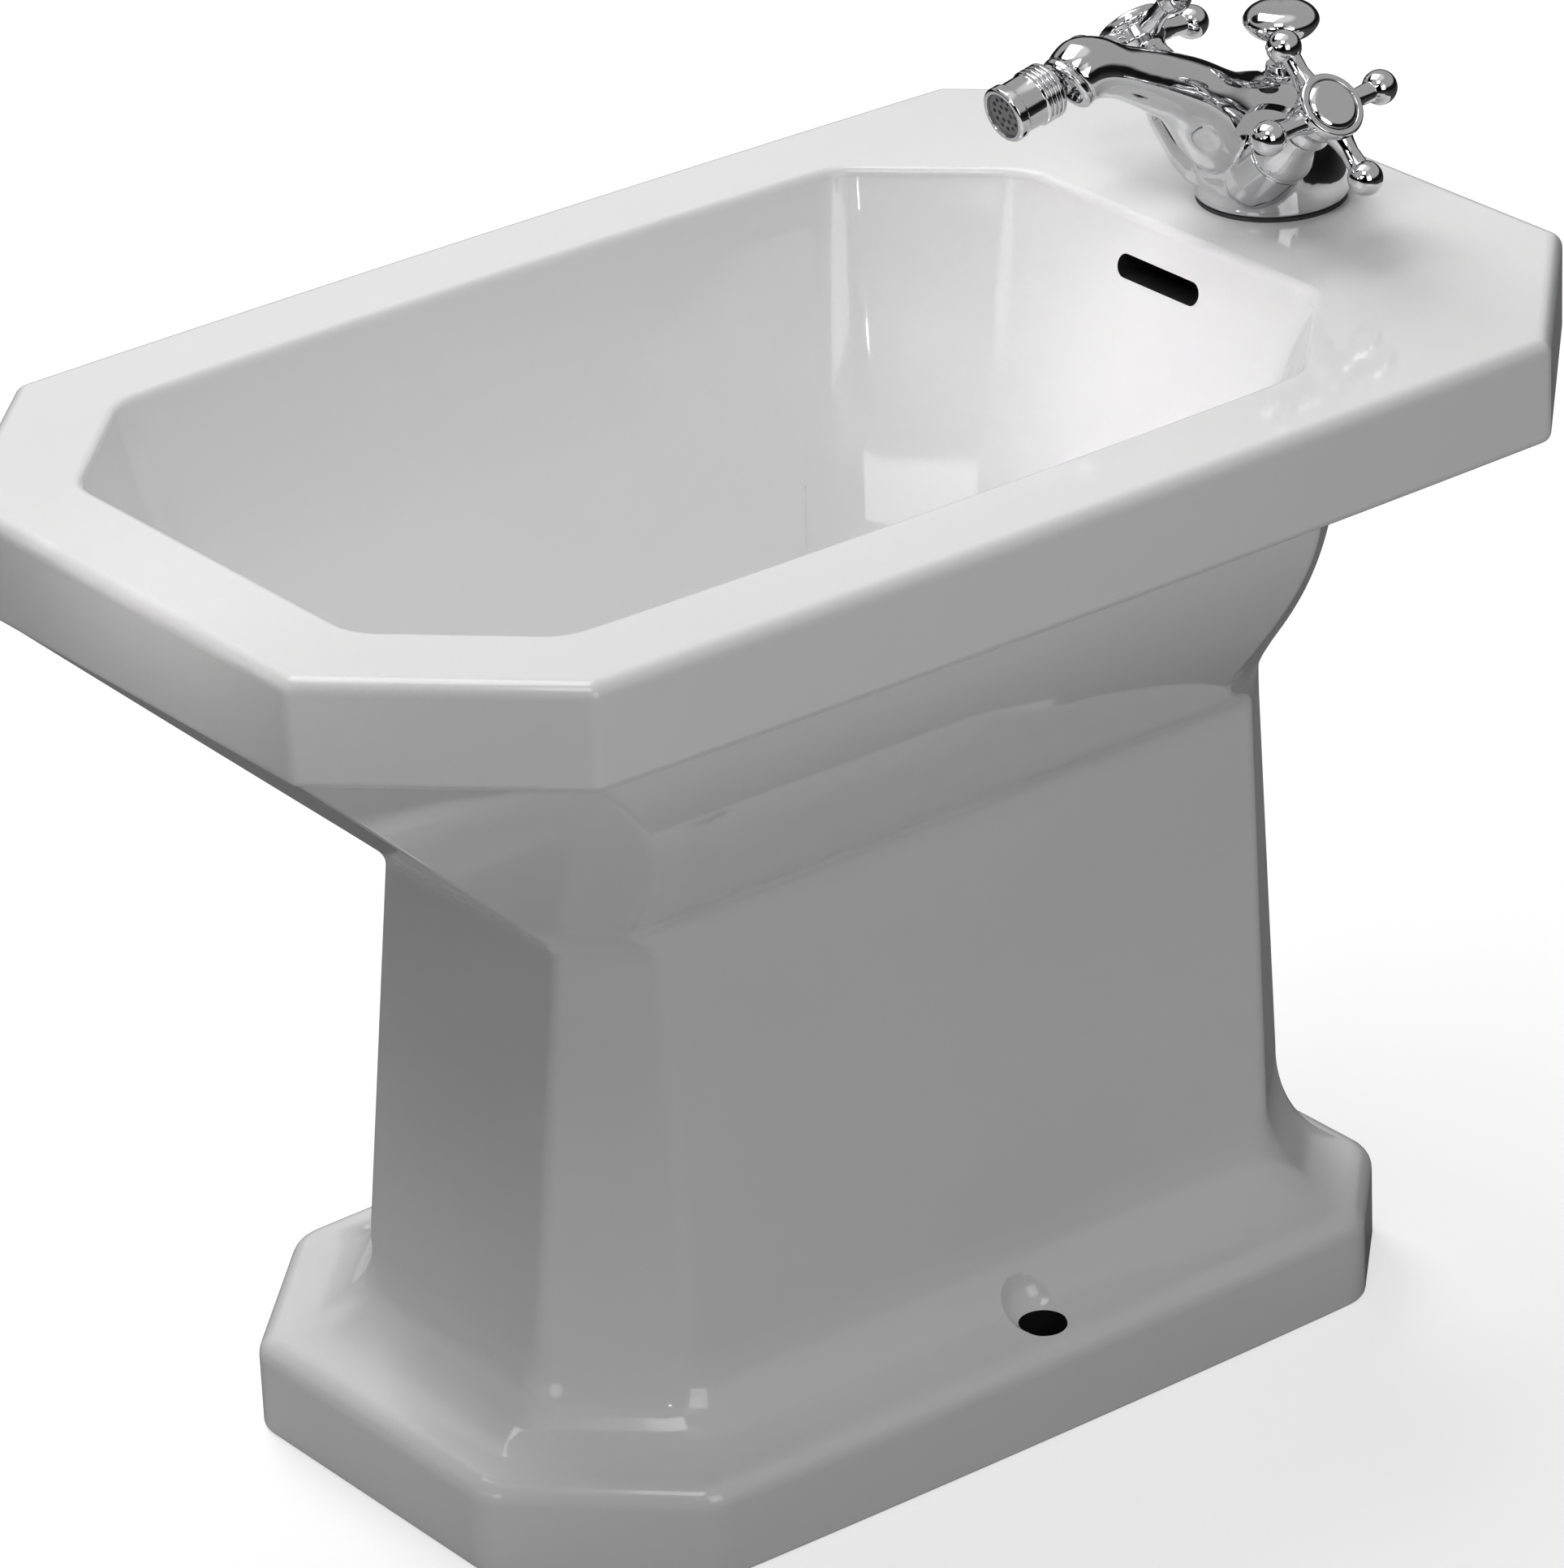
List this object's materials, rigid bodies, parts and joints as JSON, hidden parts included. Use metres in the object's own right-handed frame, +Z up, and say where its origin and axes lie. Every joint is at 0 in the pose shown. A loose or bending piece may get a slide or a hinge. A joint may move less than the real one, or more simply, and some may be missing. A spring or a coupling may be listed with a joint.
{
  "type": "floor standing bidet",
  "caption": "Floor standing octagonal bidet in glossy white china with a flared pedestal, a chrome cross-handle tap with a ball-jointed nozzle, and a pop-up waste.",
  "frame": {"origin": "on the floor under the middle of the rim plate", "axes": "+X to the right side seen from the front, -Y to the front, +Z up"},
  "size_m": [0.36, 0.585, 0.4852],
  "materials": {
    "china": "glossy glaze",
    "chrome": "polished",
    "brass": "machined",
    "rubber": "matt",
    "plastic": "moulded",
    "steel": "zinc plated"
  },
  "bodies": {
    "bidet": {"ceramic_body": "china", "tap_body": "chrome", "tap_gasket": "rubber", "mounting_stud": "brass", "horseshoe_rubber": "rubber", "horseshoe_plate": "brass", "stud_nut": "brass", "valve_hot": "brass", "bonnet_hot": "chrome", "valve_cold": "brass", "bonnet_cold": "chrome", "socket_collar": "chrome", "rod_gland": "chrome", "waste_flange": "chrome", "flange_seal": "rubber", "back_seal": "rubber", "back_nut": "brass", "waste_body": "chrome", "tail_pipe": "chrome", "pivot_seal": "rubber", "pivot_nut": "plastic"},
    "hot_handle": {"spindle_hot": "brass", "handle_hot": "chrome", "handle_screw_hot": "brass", "index_hot": "chrome"},
    "cold_handle": {"spindle_cold": "brass", "handle_cold": "chrome", "handle_screw_cold": "brass", "index_cold": "chrome"},
    "ball_swivel": {"ball_seat": "plastic"},
    "nozzle": {"swivel_ball": "chrome", "nozzle_shell": "chrome", "spray_insert": "plastic"},
    "lift": {"lift_knob": "chrome", "lift_rod": "chrome", "clevis_strap": "steel", "clevis_screw": "steel"},
    "rocker": {"pivot_rod": "steel", "strap_clip": "steel"},
    "plug": {"plug": "chrome", "plug_seal": "rubber"}
  },
  "joints": [
    {"name": "hot_turn", "type": "hinge", "parent": "bidet", "child": "hot_handle", "pos_m": [-0.05412, 0.217, 0.45197], "axis": [-0.7314, 0, 0.682], "range_deg": [-90, 0]},
    {"name": "cold_turn", "type": "hinge", "parent": "bidet", "child": "cold_handle", "pos_m": [0.05412, 0.217, 0.45197], "axis": [0.7314, 0, 0.682], "range_deg": [0, 90]},
    {"name": "ball_swivel", "type": "hinge", "parent": "bidet", "child": "ball_swivel", "pos_m": [0, 0.145, 0.473], "axis": [0, -0.866, -0.5], "range_deg": [-90, 90]},
    {"name": "nozzle_tilt", "type": "hinge", "parent": "ball_swivel", "child": "nozzle", "pos_m": [0, 0.145, 0.473], "axis": [1, 0, 0], "range_deg": [0, 36]},
    {"name": "lift_slide", "type": "slide", "parent": "bidet", "child": "lift", "axis": [0, 0, 1], "range_m": [0, 0.0217]},
    {"name": "rocker_swing", "type": "hinge", "parent": "bidet", "child": "rocker", "pos_m": [0, 0.114, 0.208], "axis": [1, 0, 0], "range_deg": [0, 13.42]},
    {"name": "plug_drop", "type": "slide", "parent": "bidet", "child": "plug", "axis": [0, 0, -1], "range_m": [0, 0.008]}
  ],
  "couplings": [
    {"joint": "rocker_swing", "follows": "lift_slide", "rad_per_m": 10.79},
    {"joint": "plug_drop", "follows": "lift_slide", "ratio": 0.36856}
  ]
}
